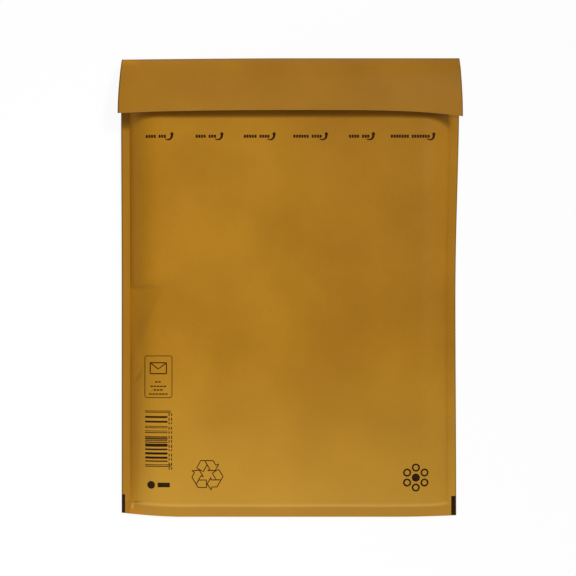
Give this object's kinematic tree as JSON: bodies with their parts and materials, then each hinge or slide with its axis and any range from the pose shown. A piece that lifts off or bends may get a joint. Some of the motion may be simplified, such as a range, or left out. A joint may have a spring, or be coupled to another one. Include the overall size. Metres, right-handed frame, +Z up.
{
  "type": "padded envelope",
  "caption": "Kraft paper mailing envelope lined with bubble film, lying flat with its self-seal flap folded forward over the open mouth.",
  "frame": {"origin": "centre of the envelope's box, on the surface that it lies on", "axes": "+X across the envelope to the right as its front is read, +Y from the foot up to the fold of the flap, +Z up out of the front"},
  "size_m": [0.253, 0.34, 0.0222],
  "materials": {
    "kraft_paper": "matt golden-brown kraft paper with a faint machine grain",
    "bubble_film": "clear polyethylene bubble film, softly glossy",
    "hot_melt_adhesive": "pale tacky hot-melt band",
    "release_paper": "white silicone-coated paper, satin"
  },
  "bodies": {
    "root": {"kraft_outer": "kraft_paper", "bubble_lining": "bubble_film", "adhesive_strip": "hot_melt_adhesive", "release_liner": "release_paper"}
  },
  "joints": []
}
